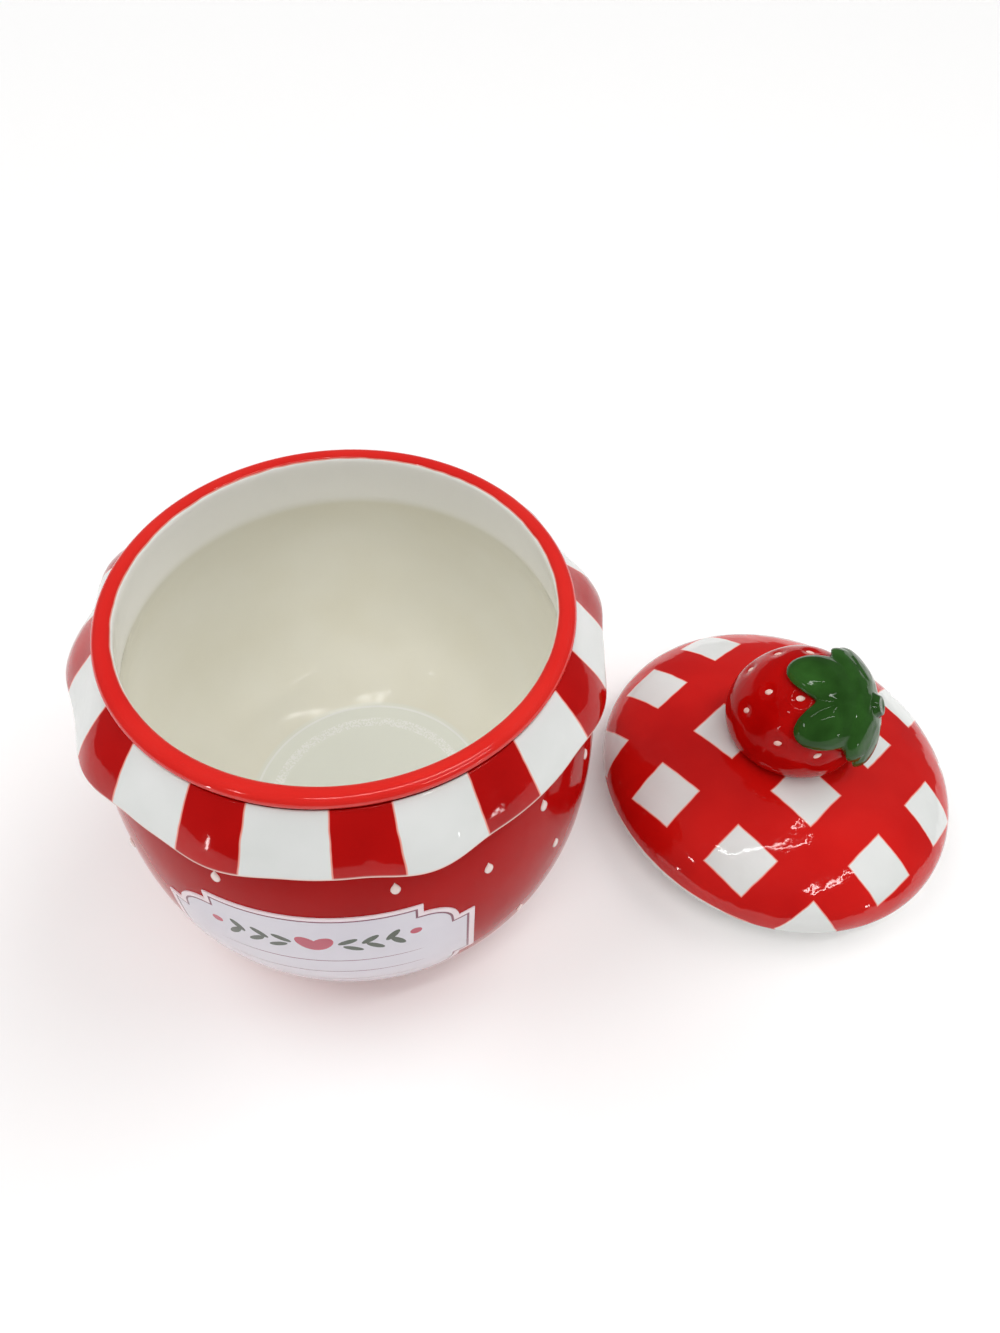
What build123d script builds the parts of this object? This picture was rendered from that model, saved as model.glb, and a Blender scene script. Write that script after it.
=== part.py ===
from build123d import *
from math import cos, radians, sin, sqrt, tan
import os

# A round-bellied ceramic jam pot with a ruffled collar, and its domed lid lying beside it.
# The pot's axis is Z and its foot stands on Z = 0. The label faces -Y and the lid lies towards +X.
# Lengths are millimetres and angles are degrees. A profile is drawn as (radius, height).

# Pot body
MOUTH_RADIUS = 48.0
POT_HEIGHT = 97.0
WALL = 4.5
RIM_WIDTH = 4.3
RIM_DEPTH = 2.5
RIM_ROUND = 1.0
RIM_OVERHANG = 1.0
NECK_DEPTH = 16.0
NECK_DRAFT = 2.8
SHOULDER_WIDTH = 6.6
BELLY_SWELL = 13.6
BELLY_HEIGHT = 41.0
HEEL_TUCK = 7.1
HEEL_HEIGHT = 10.6
FOOT_TUCK = 16.1
FOOT_WIDTH = 6.5
FOOT_RECESS = 2.0
FLOOR_TUCK = 8.3
FLOOR_THICKNESS = 3.8

# Ruffled collar
COLLAR_DROP = 12.5
COLLAR_TOP = 0.8
COLLAR_FLARE = 8.9
COLLAR_EDGE = 1.0
RUFFLES = 10
RUFFLE_DEPTH = 1.0
RUFFLE_TURN = -65.0

# Label
LABEL_WIDTH = 67.6
LABEL_HEIGHT = 44.0
LABEL_RISE = 1.0
LABEL_STEP = 3.3
LABEL_LOBE = 7.3
LABEL_THICKNESS = 0.3

# Teardrop seeds on the belly: each row is (drop below the shoulder, azimuth of its first seed)
POT_SEED_WIDTH = 2.6
POT_SEED_LENGTH = 4.4
POT_SEED_RELIEF = 0.4
POT_SEEDS_AROUND = 10
POT_SEED_ROWS = ((9.0, -72.3), (15.0, -52.5), (30.5, -32.0), (49.5, -42.5), (63.0, -61.0))

# Lid, and where it lies
LID_OVERHANG = 5.05
LID_CLEARANCE = 1.0
LID_WALL = 4.5
LIP_ROUND = 1.2
DOME_HEIGHT = 19.0
FLANGE_DEPTH = 9.1
FLANGE_WALL = 4.0
LID_GAP = 9.45
LID_BEARING = 8.6

# Berry knob
BERRY_RADIUS = 19.0
BERRY_TIP = 21.5
BERRY_CROWN = 17.5
BERRY_RISE = 11.3
BERRY_SHIFT = -0.5
BERRY_TILT = 40.0
BERRY_TURN = -20.0
KNOB_FOOT_RADIUS = 15.2
KNOB_FOOT_RISE = 3.5

# Calyx and stem on the berry, with angles measured from the berry's axis
LEAVES = 6
LEAF_TURN = 4.0
LEAF_TIP_ANGLE = 74.0
LEAF_SIDE_ANGLE = 30.0
LEAF_ROOT_ANGLE = 20.0
LEAF_THICKNESS = 2.4
STEM_RADIUS = 3.2
STEM_LENGTH = 2.4

# Seeds on the berry: each ring is (angle from the axis, angle of the first seed, angle between seeds),
# and the berry is bare up to the seed clearance over the top of the dome
BERRY_SEED_WIDTH = 1.9
BERRY_SEED_LENGTH = 2.9
BERRY_SEED_RELIEF = 0.35
BERRY_SEED_CLEARANCE = 10.0
BERRY_SEED_RINGS = ((66.0, 33.0, 60.0), (92.0, 25.0, 45.0), (115.5, 38.0, 45.0))

# Handle length of a curve that draws a quarter of an oval, as a share of its radius
OVAL_HANDLE = 0.5523

# Radii and heights that follow from the sizes above
rim_radius = MOUTH_RADIUS + RIM_WIDTH
rim_base = POT_HEIGHT - RIM_DEPTH
neck_radius = rim_radius - RIM_OVERHANG
shoulder_height = POT_HEIGHT - NECK_DEPTH
throat_radius = MOUTH_RADIUS + NECK_DRAFT
shoulder_radius = throat_radius + SHOULDER_WIDTH
belly_radius = MOUTH_RADIUS + BELLY_SWELL
heel_radius = belly_radius - HEEL_TUCK
foot_radius = belly_radius - FOOT_TUCK
floor_radius = foot_radius - FLOOR_TUCK
floor_height = FOOT_RECESS + FLOOR_THICKNESS
hem_radius = neck_radius + COLLAR_TOP + COLLAR_FLARE
hem_height = rim_base - COLLAR_DROP
label_height = BELLY_HEIGHT + LABEL_RISE
lid_radius = MOUTH_RADIUS + LID_OVERHANG
flange_radius = MOUTH_RADIUS - LID_CLEARANCE
flange_bore = flange_radius - FLANGE_WALL
dome_base = FLANGE_DEPTH + LIP_ROUND
dome_top = dome_base + DOME_HEIGHT
berry_height = dome_top + BERRY_RISE
lid_distance = hem_radius + RUFFLE_DEPTH + LID_GAP + lid_radius

lid_place = Pos(lid_distance * cos(radians(LID_BEARING)), lid_distance * sin(radians(LID_BEARING)))
berry_place = Pos(BERRY_SHIFT, 0, berry_height) * Rot(0, 0, BERRY_TURN) * Rot(0, 90 - BERRY_TILT, 0)


def turned(*lines):
    """A solid turned about Z from a closed half profile."""
    return revolve(Plane.XZ * make_face([edge for line in lines for edge in line.edges()]), Axis.Z)


def quarter_oval(radius, base, rise):
    """A quarter of an oval, from this radius at the base height to the axis, rise above the base."""
    return Bezier(
        (radius, base),
        (radius, base + OVAL_HANDLE * rise),
        (OVAL_HANDLE * radius, base + rise),
        (0, base + rise),
    )


def belly_curve(grow):
    """The pot's outside from the foot to the shoulder, moved outwards by grow."""
    return Spline(
        (foot_radius + grow, 0),
        (heel_radius + grow, HEEL_HEIGHT),
        (belly_radius + grow, BELLY_HEIGHT),
        (shoulder_radius + grow, shoulder_height),
    )


def belly_form(grow=0):
    """The belly as a full round solid, for cutting what lies on it."""
    curve = belly_curve(grow)
    return turned(curve, Polyline(curve @ 1, (0, shoulder_height), (0, 0), curve @ 0))


def belly_skin(thickness):
    """A layer of even thickness over the belly."""
    return belly_form(thickness) - belly_form()


def pot_body():
    """Bowl with a rounded rim, a drafted throat, a swelling belly and a ring foot."""
    outside = belly_curve(0)
    neck = Polyline(
        outside @ 1,
        (neck_radius, rim_base),
        (rim_radius, rim_base),
        (rim_radius, POT_HEIGHT - RIM_ROUND),
    )
    rim_outer = CenterArc((rim_radius - RIM_ROUND, POT_HEIGHT - RIM_ROUND), RIM_ROUND, 0, 90)
    rim_inner = CenterArc((MOUTH_RADIUS + RIM_ROUND, POT_HEIGHT - RIM_ROUND), RIM_ROUND, 90, 90)
    throat = Line(rim_inner @ 1, (throat_radius, shoulder_height))
    inside = Spline(
        throat @ 1,
        (shoulder_radius - WALL, shoulder_height - WALL),
        (belly_radius - WALL, BELLY_HEIGHT),
        (heel_radius - WALL, HEEL_HEIGHT + WALL / 2),
        (floor_radius, floor_height),
    )
    base = Polyline(
        inside @ 1,
        (0, floor_height),
        (0, FOOT_RECESS),
        (foot_radius - FOOT_WIDTH, FOOT_RECESS),
        (foot_radius - FOOT_WIDTH, 0),
        outside @ 0,
    )
    rim_top = Line(rim_outer @ 1, rim_inner @ 0)
    return turned(outside, neck, rim_outer, rim_top, rim_inner, throat, inside, base)


def ruffle_ring(radius, depth, height):
    """A closed wavy line, with a crest and a hollow for each ruffle."""
    points = []
    for half_wave in range(2 * RUFFLES):
        turn = radians(RUFFLE_TURN + half_wave * 180 / RUFFLES)
        reach = radius + depth * (-1) ** half_wave
        points.append((reach * cos(turn), reach * sin(turn), height))
    return Wire(Spline(*points, periodic=True))


def ruffle_collar():
    """Skirt of clay that hangs from under the rim and waves in and out along its hem."""
    top_radius = neck_radius + COLLAR_TOP
    skirt = Solid.make_loft(
        [
            ruffle_ring(top_radius, 0, rim_base),
            ruffle_ring((top_radius + hem_radius) / 2, RUFFLE_DEPTH, (rim_base + hem_height) / 2),
            ruffle_ring(hem_radius, RUFFLE_DEPTH, hem_height),
            ruffle_ring(hem_radius - COLLAR_EDGE, RUFFLE_DEPTH, hem_height - COLLAR_EDGE),
        ],
        ruled=True,
    )
    neck = turned(
        Polyline(
            (0, shoulder_height),
            (shoulder_radius, shoulder_height),
            (neck_radius, rim_base),
            (0, rim_base),
            close=True,
        )
    )
    return skirt - neck - belly_form()


def label():
    """Thin plaque on the belly, with a step and a round lobe at each corner."""
    corner = LABEL_STEP + LABEL_LOBE
    wide = LABEL_WIDTH - 2 * corner
    tall = LABEL_HEIGHT - 2 * corner
    outline = Rectangle(LABEL_WIDTH, tall) + Rectangle(wide, LABEL_HEIGHT)
    for spot in GridLocations(wide, tall, 2, 2):
        outline += spot * Circle(LABEL_LOBE)
    stamp = extrude(Plane.XZ * Pos(0, label_height) * outline, belly_radius + WALL)
    return stamp & belly_skin(LABEL_THICKNESS)


def clear_of_label(turn, height):
    """Whether a seed at this azimuth and height lies beside, above or below the label."""
    beside = abs(belly_radius * cos(radians(turn))) > LABEL_WIDTH / 2 + POT_SEED_WIDTH
    above_or_below = abs(height - label_height) > LABEL_HEIGHT / 2 + POT_SEED_LENGTH / 2
    return beside or above_or_below or sin(radians(turn)) > 0


def pot_seeds():
    """Raised teardrops in staggered rows round the belly, point upwards."""
    bulb = POT_SEED_WIDTH / 2
    point = POT_SEED_LENGTH - bulb
    touch = (bulb * sqrt(1 - (bulb / point) ** 2), bulb**2 / point)
    mirrored = (-touch[0], touch[1])
    drop = make_face([Polyline(mirrored, (0, point), touch), ThreePointArc(touch, (0, -bulb), mirrored)])
    skin = belly_skin(POT_SEED_RELIEF)
    seeds = []
    for down, first in POT_SEED_ROWS:
        height = shoulder_height - down
        if height < HEEL_HEIGHT:
            continue
        seed = skin & extrude(Plane.YZ * Pos(0, height) * drop, belly_radius + WALL)
        for step in range(POT_SEEDS_AROUND):
            turn = first + step * 360 / POT_SEEDS_AROUND
            if clear_of_label(turn, height):
                seeds += (Rot(0, 0, turn) * seed).solids()
    return Compound(seeds)


def lid_shell():
    """Hollow dome with a rounded lip, and a flange that drops into the pot's mouth."""
    lip = CenterArc((lid_radius - LIP_ROUND, dome_base), LIP_ROUND, -90, 90)
    dome = quarter_oval(lid_radius, dome_base, DOME_HEIGHT)
    hollow = quarter_oval(flange_bore, FLANGE_DEPTH, dome_top - LID_WALL - FLANGE_DEPTH)
    flange = Polyline(
        hollow @ 0,
        (flange_bore, 0),
        (flange_radius, 0),
        (flange_radius, FLANGE_DEPTH),
        lip @ 0,
    )
    return lid_place * turned(flange, lip, dome, Line(dome @ 1, hollow @ 1), hollow)


def dome_form():
    """The lid's dome as a full solid, for cutting what sits on it."""
    dome = quarter_oval(lid_radius, dome_base, DOME_HEIGHT)
    return turned(dome, Polyline(dome @ 1, (0, dome_base), dome @ 0))


def berry_form(grow=0):
    """The berry turned about its own axis, with its tip down and its crown up, grown on all sides."""
    tip = quarter_oval(BERRY_RADIUS + grow, 0, -BERRY_TIP - grow)
    crown = quarter_oval(BERRY_RADIUS + grow, 0, BERRY_CROWN + grow)
    return turned(tip, crown, Line(crown @ 1, tip @ 1))


def knob_foot():
    """Short round foot between the berry and the dome, standing up from inside the dome."""
    return Pos(0, 0, dome_base) * extrude(Circle(KNOB_FOOT_RADIUS), DOME_HEIGHT + KNOB_FOOT_RISE)


def berry_knob():
    """Strawberry lying on its side, joined to the dome by its foot."""
    return lid_place * (berry_place * berry_form() + knob_foot() - dome_form())


def leaf_ring(height):
    """Outline of the calyx on a plane at this height over the berry's middle: joined oval leaves."""
    tip = height * tan(radians(LEAF_TIP_ANGLE))
    root = height * tan(radians(LEAF_ROOT_ANGLE))
    half_breadth = height * tan(radians(LEAF_SIDE_ANGLE))
    leaf = Pos((tip - root) / 2, 0, height) * Ellipse((tip + root) / 2, half_breadth)
    leaves = [Rot(0, 0, LEAF_TURN + number * 360 / LEAVES) * leaf for number in range(LEAVES)]
    return (Sketch() + leaves).face().outer_wire()


def calyx():
    """Cap of leaves laid over the berry's crown, with edges square to its surface."""
    inside_berry = BERRY_RADIUS * cos(radians(LEAF_TIP_ANGLE)) / 2
    above_crown = BERRY_CROWN + 2 * LEAF_THICKNESS
    spread = Solid.make_loft([leaf_ring(inside_berry), leaf_ring(above_crown)], ruled=True)
    cap = spread & (berry_form(LEAF_THICKNESS) - berry_form())
    return lid_place * (berry_place * cap - knob_foot() - dome_form())


def stem():
    """Short stub of stem on top of the calyx."""
    crown = BERRY_CROWN + LEAF_THICKNESS
    stub = extrude(Circle(STEM_RADIUS), crown + STEM_LENGTH)
    return lid_place * berry_place * (stub - berry_form(LEAF_THICKNESS))


def berry_seeds():
    """Raised oval seeds in rings round the berry, left out on its underside."""
    skin = berry_form(BERRY_SEED_RELIEF) - berry_form()
    pin = extrude(Ellipse(BERRY_SEED_LENGTH / 2, BERRY_SEED_WIDTH / 2), BERRY_TIP + BERRY_RADIUS)
    seeds = []
    for angle, first, between in BERRY_SEED_RINGS:
        seed = skin & Rot(0, angle, 0) * pin
        for number in range(int(360 / between)):
            placed = berry_place * Rot(0, 0, first + number * between) * seed
            if placed.center().Z > dome_top + BERRY_SEED_CLEARANCE:
                seeds += (lid_place * placed).solids()
    return Compound(seeds)


NODES = {
    "pot_body": pot_body,
    "ruffle_collar": ruffle_collar,
    "label": label,
    "pot_seeds": pot_seeds,
    "lid_shell": lid_shell,
    "berry_knob": berry_knob,
    "calyx": calyx,
    "stem": stem,
    "berry_seeds": berry_seeds,
}

os.makedirs("parts", exist_ok=True)
for name, make in NODES.items():
    export_step(make(), f"parts/{name}.step")
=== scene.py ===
from math import atan2, cos, dist, pi, radians, sin, tan

import bmesh
import bpy
from mathutils import Matrix, Vector


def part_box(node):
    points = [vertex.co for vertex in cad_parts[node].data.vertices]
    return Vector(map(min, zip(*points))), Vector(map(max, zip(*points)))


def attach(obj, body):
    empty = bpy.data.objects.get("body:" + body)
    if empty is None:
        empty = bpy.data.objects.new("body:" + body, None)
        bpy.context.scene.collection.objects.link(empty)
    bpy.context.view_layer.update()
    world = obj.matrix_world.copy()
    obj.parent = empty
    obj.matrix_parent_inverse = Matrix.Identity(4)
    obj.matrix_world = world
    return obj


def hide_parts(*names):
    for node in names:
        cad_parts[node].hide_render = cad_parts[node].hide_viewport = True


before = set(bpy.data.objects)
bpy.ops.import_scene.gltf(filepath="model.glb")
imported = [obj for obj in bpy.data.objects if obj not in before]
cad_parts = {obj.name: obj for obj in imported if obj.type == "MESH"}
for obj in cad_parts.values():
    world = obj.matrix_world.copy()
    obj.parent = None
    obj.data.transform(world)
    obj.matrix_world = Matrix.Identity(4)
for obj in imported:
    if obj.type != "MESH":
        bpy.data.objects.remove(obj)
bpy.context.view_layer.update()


# Pot body: a bowl of slip-cast white earthenware with a rolled rim, a drawn-in throat and a ring foot.
# It is glazed cream inside, painted red outside from the rim's inner edge to the foot, and fired glossy.

MM = 0.001
TURN = 2 * pi

pot_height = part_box("pot_body")[1][2] / MM
belly_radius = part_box("pot_body")[1][0] / MM
mouth_radius = belly_radius - 13.6
rim_radius = mouth_radius + 4.3
rim_base = pot_height - 2.5
neck_radius = rim_radius - 1
throat_height = pot_height - 16
floor_height = 5.8
ring_radius = 29.5
heel_radius = 35.2
foot_radius = belly_radius - 16.1
foot_recess = 2

inside_run = [
    (0, floor_height),
    (15, floor_height),
    (27.5, floor_height),
    (28.8, floor_height + 0.05),
    (ring_radius, floor_height + 0.4),
    (30.2, floor_height + 0.65),
    (31.6, floor_height + 0.7),
    (34.3, floor_height + 0.7),
    (heel_radius, floor_height + 0.85),
    (35.9, floor_height + 1.25),
    (38.4, floor_height + 2.5),
    (42.4, floor_height + 4.6),
    (48.2, 14.2),
    (53.2, 20.5),
    (belly_radius - 5.5, 30),
    (belly_radius - 4.4, 42),
    (belly_radius - 4.5, 54),
    (belly_radius - 5.6, 65),
    (belly_radius - 7.6, 72.5),
    (mouth_radius + 4, throat_height - 2.8),
    (mouth_radius + 2.9, throat_height - 0.4),
    (mouth_radius + 2.5, throat_height + 1),
    (mouth_radius + 1.8, throat_height + 5),
    (mouth_radius + 0.7, pot_height - 5),
    (mouth_radius + 0.1, pot_height - 2.2),
    (mouth_radius, pot_height - 1),
]
painted_run = [
    (mouth_radius + 0.2, pot_height - 0.3),
    (mouth_radius + 0.9, pot_height + 0.2),
    (mouth_radius + 2.2, pot_height + 0.45),
    (mouth_radius + 3.5, pot_height + 0.1),
    (rim_radius, pot_height - 0.7),
    (rim_radius + 0.15, pot_height - 1.6),
    (rim_radius - 0.3, pot_height - 2.3),
    (neck_radius, rim_base),
    (neck_radius - 0.3, rim_base - 1),
    (rim_radius + 1.2, pot_height - 10),
    (rim_radius + 3.7, throat_height + 0.6),
    (belly_radius - 4.1, throat_height - 1.4),
    (belly_radius - 2.1, 70),
    (belly_radius - 0.6, 58),
    (belly_radius, 46),
    (belly_radius - 0.1, 36),
    (belly_radius - 1.4, 26),
    (belly_radius - 4.1, 17),
    (belly_radius - 8.3, 9),
    (belly_radius - 13, 3.2),
    (foot_radius + 0.9, 0.9),
]
foot_run = [
    (foot_radius, 0.15),
    (foot_radius - 1, 0),
    (foot_radius - 5.5, 0),
    (foot_radius - 6.3, 0.2),
    (foot_radius - 6.5, 0.8),
    (foot_radius - 6.6, foot_recess - 0.3),
    (foot_radius - 7.2, foot_recess),
    (foot_radius - 11, foot_recess),
    (18, foot_recess),
    (0, foot_recess),
]


def start_point():
    """A mesh of one vertex at the origin, in edit mode and selected, to draw an outline from."""
    bpy.ops.object.select_all(action="DESELECT")
    bpy.ops.mesh.primitive_plane_add(size=MM)
    bpy.ops.object.mode_set(mode="EDIT")
    bpy.ops.mesh.select_all(action="SELECT")
    bpy.ops.mesh.merge(type="CENTER")
    return bpy.context.active_object


def smooth_form(form, levels):
    """Round a form with a subdivision surface, applied, and shade it smooth."""
    rounding = form.modifiers.new("rounding", "SUBSURF")
    rounding.levels = levels
    rounding.render_levels = levels
    bpy.ops.object.modifier_apply(modifier=rounding.name)
    bpy.ops.object.shade_smooth()


def run_length(run):
    """Length in millimetres along a run of points."""
    return sum(dist(point, following) for point, following in zip(run, run[1:]))


def turn_form(name, profile, centre):
    """Draw a half profile of (radius, height) points and spin it, with its length so far at each ring."""
    form = start_point()
    form.name = name
    corners = [Vector((radius, 0, height)) * MM for radius, height in profile]
    bpy.ops.transform.translate(value=corners[0])
    for corner, following in zip(corners, corners[1:]):
        bpy.ops.mesh.extrude_vertices_move(TRANSFORM_OT_translate={"value": following - corner})
    bpy.ops.object.mode_set(mode="OBJECT")
    along = form.data.attributes.new("along", "FLOAT", "POINT")
    for vertex, mark in zip(form.data.vertices, along.data):
        number = min(range(len(corners)), key=lambda known: (corners[known] - vertex.co).length)
        mark.value = run_length(profile[: number + 1])
    bpy.ops.object.mode_set(mode="EDIT")
    bpy.ops.mesh.select_all(action="SELECT")
    bpy.ops.mesh.spin(steps=96, angle=TURN, center=(0, 0, 0), axis=(0, 0, 1))
    bpy.ops.mesh.select_all(action="SELECT")
    bpy.ops.mesh.remove_doubles(threshold=0.01 * MM)
    bpy.ops.mesh.normals_make_consistent(inside=False)
    bpy.ops.object.mode_set(mode="OBJECT")
    form.location = centre
    bpy.ops.object.transform_apply(location=True, rotation=True, scale=True)
    smooth_form(form, 1)
    return form


pot = turn_form("pot_glazed", inside_run + painted_run + foot_run, (0, 0, 0))


def linear(hex_colour):
    """An sRGB hex colour as linear red, green, blue and alpha."""
    channels = [int(hex_colour[start : start + 2], 16) / 255 for start in (1, 3, 5)]
    return [c / 12.92 if c <= 0.04045 else ((c + 0.055) / 1.055) ** 2.4 for c in channels] + [1]


def add_node(tree, kind, inputs, output=0, **settings):
    """Add a node with its settings, fill its inputs with values or links, and give one output."""
    made = tree.nodes.new(kind)
    for name, value in settings.items():
        setattr(made, name, value)
    for socket, value in inputs.items():
        if isinstance(value, bpy.types.NodeSocket):
            tree.links.new(value, made.inputs[socket])
        else:
            made.inputs[socket].default_value = value
    return made.outputs[output] if made.outputs else None


def start_glaze(form, name, ripple_height, shine=0.45):
    """Give a form a fired gloss glaze: clear and hard, with slow ripples and a finer orange peel."""
    ripple_width = 9
    peel_width = 2.4
    smear_width = 4
    peel_share = 0.15
    material = bpy.data.materials.new(name)
    material.use_nodes = True
    tree = material.node_tree
    tree.nodes.clear()
    place = add_node(tree, "ShaderNodeTexCoord", {}, output="Object")
    waves = {"Vector": place, "Scale": 1 / (ripple_width * MM), "Detail": 1}
    ripple = add_node(tree, "ShaderNodeTexNoise", waves)
    slow = {"Strength": 1, "Distance": ripple_height * MM, "Height": ripple}
    settled = add_node(tree, "ShaderNodeBump", slow)
    pores = {"Vector": place, "Scale": 1 / (peel_width * MM), "Detail": 1}
    peel = add_node(tree, "ShaderNodeTexNoise", pores)
    peel_height = peel_share * ripple_height * MM
    fine = {"Strength": 1, "Distance": peel_height, "Height": peel, "Normal": settled}
    bent = add_node(tree, "ShaderNodeBump", fine)
    smear = add_node(tree, "ShaderNodeTexNoise", {"Vector": place, "Scale": 1 / (smear_width * MM)})
    polish = add_node(tree, "ShaderNodeMapRange", {"Value": smear, "To Min": 0.03, "To Max": 0.1})
    gloss = {"Roughness": polish, "IOR": 1.5, "Specular IOR Level": shine, "Normal": bent}
    surface = add_node(tree, "ShaderNodeBsdfPrincipled", gloss)
    add_node(tree, "ShaderNodeOutputMaterial", {"Surface": surface})
    form.data.materials.clear()
    form.data.materials.append(material)
    return tree, place, surface.node


def cloud_paint(tree, place, thin, thick, width):
    """One brushed colour, thinner here and thicker there in patches of this width."""
    cloud = add_node(tree, "ShaderNodeTexNoise", {"Vector": place, "Scale": 1 / (width * MM), "Detail": 2})
    amount = add_node(tree, "ShaderNodeMapRange", {"Value": cloud, "From Min": 0.3, "From Max": 0.7})
    tints = {0: amount, 6: linear(thin), 7: linear(thick)}
    return add_node(tree, "ShaderNodeMix", tints, output=2, data_type="RGBA")


def meet_paints(tree, place, distance, first, second):
    """First paint where the distance in millimetres is below 0, second above, and a thin pink edge."""
    waver_width = 5
    waver_reach = 0.5
    edge_width = 0.3
    edge_blur = 0.2
    hand = {"Vector": place, "Scale": 1 / (waver_width * MM), "Detail": 1}
    waver = add_node(tree, "ShaderNodeTexNoise", hand)
    swing = {0: waver, 1: waver_reach, 2: -waver_reach / 2}
    shift = add_node(tree, "ShaderNodeMath", swing, operation="MULTIPLY_ADD")
    drawn = add_node(tree, "ShaderNodeMath", {0: distance, 1: shift}, operation="ADD")
    into_line = {"Value": drawn, "From Min": -edge_width, "From Max": edge_blur - edge_width}
    out_of_line = {"Value": drawn, "From Min": 0, "From Max": edge_blur}
    lined = add_node(tree, "ShaderNodeMapRange", into_line, interpolation_type="SMOOTHSTEP")
    passed = add_node(tree, "ShaderNodeMapRange", out_of_line, interpolation_type="SMOOTHSTEP")
    edged = {0: lined, 6: first, 7: linear("#eb9a8c")}
    edge = add_node(tree, "ShaderNodeMix", edged, output=2, data_type="RGBA")
    return add_node(tree, "ShaderNodeMix", {0: passed, 6: edge, 7: second}, output=2, data_type="RGBA")


ring_border = run_length([point for point in inside_run if point[0] <= ring_radius])
heel_border = run_length([point for point in inside_run if point[0] <= heel_radius])
throat_border = run_length([point for point in inside_run if point[1] < throat_height])
rim_border = run_length(inside_run + painted_run[:1])
rim_band = run_length([point for point in painted_run if point[1] >= rim_base])
foot_border = run_length(inside_run + painted_run)
throat_fade = 2
heel_fade = 1.5
heel_glint_half = 0.3
ring_glint_half = 1.3
glint_speck_width = 0.55
inside_shine = 0.12
rim_shine = 0.5
belly_shine = 0.05

# The inside is cream below the throat and painted whiter on the throat, as painted light. A speckled white
# band round the floor and a thin white line at the heel are painted glints. The rim shines most, then the
# inside, and the painted belly least.
tree, place, surface = start_glaze(pot, "red_and_cream_glaze", ripple_height=0.1)
inside_cream = cloud_paint(tree, place, "#f4f2e8", "#f0ede0", width=30)
rim_red = cloud_paint(tree, place, "#da2820", "#d11c17", width=25)
belly_red = cloud_paint(tree, place, "#b40d0c", "#a30707", width=40)
along = add_node(tree, "ShaderNodeAttribute", {}, output="Fac", attribute_name="along")
# The throat band is painted whiter, as painted light.
climb = {"Value": along, "From Min": throat_border - throat_fade, "From Max": throat_border + throat_fade}
throat_light = add_node(tree, "ShaderNodeMapRange", climb, interpolation_type="SMOOTHSTEP")
past_heel = {"Value": along, "From Min": heel_border, "From Max": heel_border + heel_fade}
off_floor = add_node(tree, "ShaderNodeMapRange", past_heel)
sunk = {0: off_floor, 6: linear("#f0f2ec"), 7: inside_cream}
bottom = add_node(tree, "ShaderNodeMix", sunk, output=2, data_type="RGBA")
inner = {0: throat_light, 6: bottom, 7: linear("#fefdfa")}
lit_throat_cream = add_node(tree, "ShaderNodeMix", inner, output=2, data_type="RGBA")
# White specks on the floor ring and a thin white line at the heel are painted glints.
glint_speck_inputs = {"Vector": place, "Scale": 1 / (glint_speck_width * MM), "Detail": 1}
glint_specks = add_node(tree, "ShaderNodeTexNoise", glint_speck_inputs)
scattered = {"Value": glint_specks, "From Min": 0.45, "From Max": 0.55, "To Max": 0.8}
speckled_glints = add_node(tree, "ShaderNodeMapRange", scattered)
near_ring = {0: along, 1: ring_border, 2: ring_glint_half}
on_ring = add_node(tree, "ShaderNodeMath", near_ring, operation="COMPARE")
ring_glints = add_node(tree, "ShaderNodeMath", {0: speckled_glints, 1: on_ring}, operation="MULTIPLY")
near_heel = {0: along, 1: heel_border, 2: heel_glint_half}
on_heel = add_node(tree, "ShaderNodeMath", near_heel, operation="COMPARE")
line = add_node(tree, "ShaderNodeMapRange", {"Value": on_heel, "To Max": 0.65})
painted_glints = add_node(tree, "ShaderNodeMath", {0: ring_glints, 1: line}, operation="MAXIMUM")
ringed = {0: painted_glints, 6: lit_throat_cream, 7: linear("#ffffff")}
cream = add_node(tree, "ShaderNodeMix", ringed, output=2, data_type="RGBA")
past_rim = add_node(tree, "ShaderNodeMath", {0: along, 1: rim_border}, operation="SUBTRACT")
before_foot = add_node(tree, "ShaderNodeMath", {0: foot_border, 1: along}, operation="SUBTRACT")
painted = add_node(tree, "ShaderNodeMath", {0: past_rim, 1: before_foot}, operation="MINIMUM")
below_rim = add_node(tree, "ShaderNodeMath", {0: past_rim, 1: rim_band}, operation="GREATER_THAN")
reds = {0: below_rim, 6: rim_red, 7: belly_red}
red = add_node(tree, "ShaderNodeMix", reds, output=2, data_type="RGBA")
tree.links.new(meet_paints(tree, place, painted, cream, red), surface.inputs["Base Color"])
past_edge = add_node(tree, "ShaderNodeMath", {0: past_rim, 1: 0}, operation="GREATER_THAN")
glossed = {"Value": past_edge, "To Min": inside_shine, "To Max": rim_shine}
upper_shine = add_node(tree, "ShaderNodeMapRange", glossed)
dulled = {"Value": below_rim, "To Min": upper_shine, "To Max": belly_shine}
shine = add_node(tree, "ShaderNodeMapRange", dulled)
tree.links.new(shine, surface.inputs["Specular IOR Level"])

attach(pot, "pot")
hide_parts("pot_body")


# Ruffle collar: a skirt of clay cast with the pot, hanging from under the rim and waving along its hem.
# Red stripes are brushed onto the white clay at even steps, and the hem's edge is left pale.

STRIPES = 12
first_stripe = radians(-76.7)
collar_sides = 240
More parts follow.
